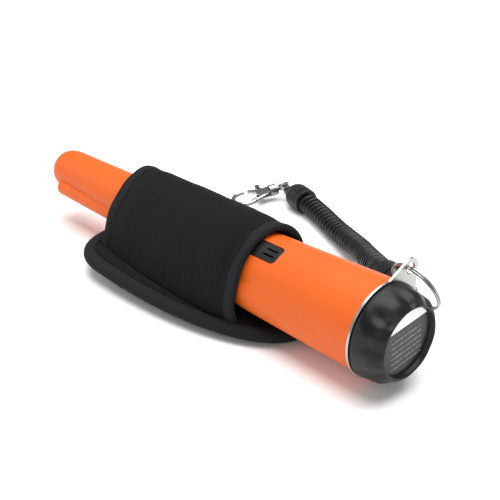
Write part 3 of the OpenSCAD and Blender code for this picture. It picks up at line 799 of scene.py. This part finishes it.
def outline(grow):
    """Points round the panel at stations and offsets from the axis, in mm."""
    pts = []
    for i in range(2 * OUTLINE_STEPS):
        a = -math.pi / 2 + math.pi * i / OUTLINE_STEPS
        c, q = math.cos(a), math.sin(a)
        power, reach = (2 / 2.2, PANEL_REAR) if c > 0 else (2 / 3, PANEL_FRONT)
        pts.append((PANEL_WIDEST + (reach + grow) * math.copysign(abs(c) ** power, c),
                    (PANEL_HW + grow) * math.copysign(abs(q) ** power, q)))
    return pts


PANEL_RINGS = [0.0, -1.2, -2.5, -4.5, -7, -10, -13.5, -17.5, -21]


def panel_rows():
    rows = []
    for side in (-1, 1):
        for grow in PANEL_RINGS if side > 0 else PANEL_RINGS[::-1]:
            puff = 0.9 * math.sin(min(1.0, -grow / 7) * math.pi / 2)
            row = []
            for s, y in outline(grow):
                free = max(0.0, min(1.0, (abs(y) - 7) / 8)) if side > 0 else 0.3
                rise = puff * free + 0.25 * noise.noise(Vector((s / 13, y / 13, side)))
                sunk = 0.9 if grow == 0 else 0.45
                row.append(at(s, y, panel_z(s) - PANEL_T / 2 + side * (PANEL_T / 2 - sunk + rise)))
            rows.append(row)
    return rows


pad_rows = panel_rows()
panel = grid_object("panel", pad_rows, closed_u=True,
                    uv=lambda v, u: pad_rows[v][u % len(pad_rows[v])].xy)
cap_ends(panel)
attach(panel, "holster")
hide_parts("back_panel")
dress("panel_cloth", panel)
print("panel built")

# %% [markdown]
# The edge of the panel is a thick binding, folded round the raw edges and sewn through.
# Real tape is bent round by hand. Here one rounded section is swept round the outline,
# with a groove pulled in on top where the stitches lie.

# %% Binding round the panel
EDGE_W, EDGE_H = 3.5, 2.7
EDGE_SIDES = 28
EDGE_ALONG, EDGE_ROUND = 0.0029, 0.0008
UP = Vector((0, 0, 1))
edge_path = [at(s, y, panel_z(s) - PANEL_T / 2) for s, y in outline(EDGE_W - 0.6)]
edge_rows, seam_line = [], []
for i, p in enumerate(edge_path):
    t = (edge_path[(i + 1) % len(edge_path)] - edge_path[i - 1]).normalized()
    out = t.cross(UP).normalized()
    row = []
    for k in range(EDGE_SIDES):
        g = 2 * math.pi * k / EDGE_SIDES
        c, q = math.cos(g), math.sin(g)
        sunk = 0.45 * math.exp(-((c + 0.62) / 0.14) ** 2) if q > 0 else 0.0
        row.append(p + (out * math.copysign(abs(c) ** 0.85, c) * EDGE_W
                        + UP * (math.copysign(abs(q) ** 0.85, q) * EDGE_H - sunk)) / 1000)
    edge_rows.append(row)
    seam_line.append(p + (out * -0.64 * EDGE_W + UP * (EDGE_H * 0.8 - 0.25)) / 1000)
panel_edge = grid_object("panel_edge", edge_rows, closed_u=True, closed_v=True,
                         uv=lambda v, u: (v * EDGE_ALONG, u * EDGE_ROUND))
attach(panel_edge, "holster")
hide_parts("panel_binding")
dress("edge_tape", panel_edge)
stitch_row("panel_stitches", seam_line + seam_line[:1], "holster", 0.0024, 0.001, 0.0004)
print("panel bound")

# %% [markdown]
# ## Belt loop
#
# A strap of webbing is sewn across the back of the panel, and a belt goes through it. It
# is a flat strip bent down from the panel, along the ground, and back up. A bent box
# would have knife edges, so a flat section with round sides is swept along that line,
# and a row of stitches holds each end.

# %% Sweep the belt loop
LOOP_W, LOOP_T = 38.0, 1.25
LOOP_SIDES = 7
LOOP_ALONG, LOOP_ACROSS = 0.00175, 0.038
loop_front = panel_z(69.5) + AXIS_H - PANEL_T - 0.15
loop_rear = panel_z(130) + AXIS_H - PANEL_T - 0.15
loop_line = [Vector((s - PROBE_LEN / 2, 0, z)) / 1000 for s, z in [
    (62, loop_front - 0.35), (65.75, loop_front - 0.7), (68.2, 2.1), (70.7, 0.72), (76, 0.7),
    (90, 0.7), (108, 0.7), (124, 0.7), (129.2, 0.76), (133, 1.35), (135, loop_rear - 0.95),
    (142, loop_rear - 1.25)]]
loop_line = smooth_through(loop_line, 5)
loop_rows = []
for i, p in enumerate(loop_line):
    t = (loop_line[min(i + 1, len(loop_line) - 1)] - loop_line[max(i - 1, 0)]).normalized()
    n = Vector((-t.z, 0, t.x))
    row = []
    for sign, angles in ((1, range(90, -91, -30)), (-1, range(270, 89, -30))):
        for d in angles:
            g = math.radians(d)
            row.append(p + Vector((0, sign * (LOOP_W - LOOP_T) / 2000, 0))
                       + (Vector((0, 1, 0)) * math.cos(g) + n * math.sin(g)) * LOOP_T / 2000)
    loop_rows.append(row)
loop_strap = cap_ends(grid_object("loop_strap", loop_rows, closed_u=True,
                                  uv=lambda v, u: (v * LOOP_ALONG,
                                                   LOOP_ACROSS * (u % LOOP_SIDES) / LOOP_SIDES)))
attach(loop_strap, "holster")
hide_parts("belt_loop")
dress("loop_webbing", loop_strap)
for number, (s, z) in enumerate([(63.9, loop_front - 1.25), (139.5, loop_rear - 1.85)]):
    seam = [mm(s - PROBE_LEN / 2, y, z) for y in range(-17, 18, 2)]
    stitch_row("loop_stitches_" + str(number), seam, "holster")
print("belt loop:", round(1000 * path_length(loop_line)), "mm of webbing")

# %% [markdown]
# ## The soft pieces
#
# A cord has a real length and things that hang on it, and a sheet has the size it was cut to.

print("cord and sleeve built")

# %% [markdown]
# ## Studio
#
# A white floor with big soft lights: one large box above, a weaker one on the camera's
# side, another on the left, and a dim even world that fills the shadows.

# %% Floor and lights
floor = add_object("floor", bpy.data.meshes.new("floor"))
floor.data.from_pydata([(-6, -6, 0), (6, -6, 0), (6, 6, 0), (-6, 6, 0)], [], [(0, 1, 2, 3)])
sweep = Finish("studio_floor", roughness=0.9, specular_ior_level=0.1)
cloudy = sweep.noise(sweep.place(), 3, 1)
sweep.feed("Base Color", sweep.blend(cloudy, rgb(250, 250, 250), rgb(252, 252, 252)))
floor.data.materials.append(sweep.material)


def soft_box(name, place, aim, size, power):
    data = bpy.data.lights.new(name, "AREA")
    data.shape, data.size, data.size_y, data.energy = "RECTANGLE", size[0], size[1], power
    lamp = bpy.data.objects.new(name, data)
    bpy.context.scene.collection.objects.link(lamp)
    lamp.location = place
    lamp.rotation_mode = "QUATERNION"
    lamp.rotation_quaternion = (Vector(aim) - Vector(place)).to_track_quat("-Z", "Y")


soft_box("top_box", (0.0, 0.15, 1.1), (0, 0, 0), (1.3, 1.3), 25)
soft_box("camera_side_box", (0.7, -0.9, 0.6), (0, 0, 0.02), (0.9, 0.9), 3.0)
soft_box("left_box", (-0.9, -0.5, 0.5), (0, 0, 0.02), (0.8, 0.6), 2.5)
world = bpy.data.worlds.new("studio_world")
bpy.context.scene.world = world
world.use_nodes = True
sky = world.node_tree.nodes["Background"]
sky.inputs["Color"].default_value = (1, 1, 1, 1)
sky.inputs["Strength"].default_value = 0.36
bpy.context.scene.view_settings.view_transform = "Standard"
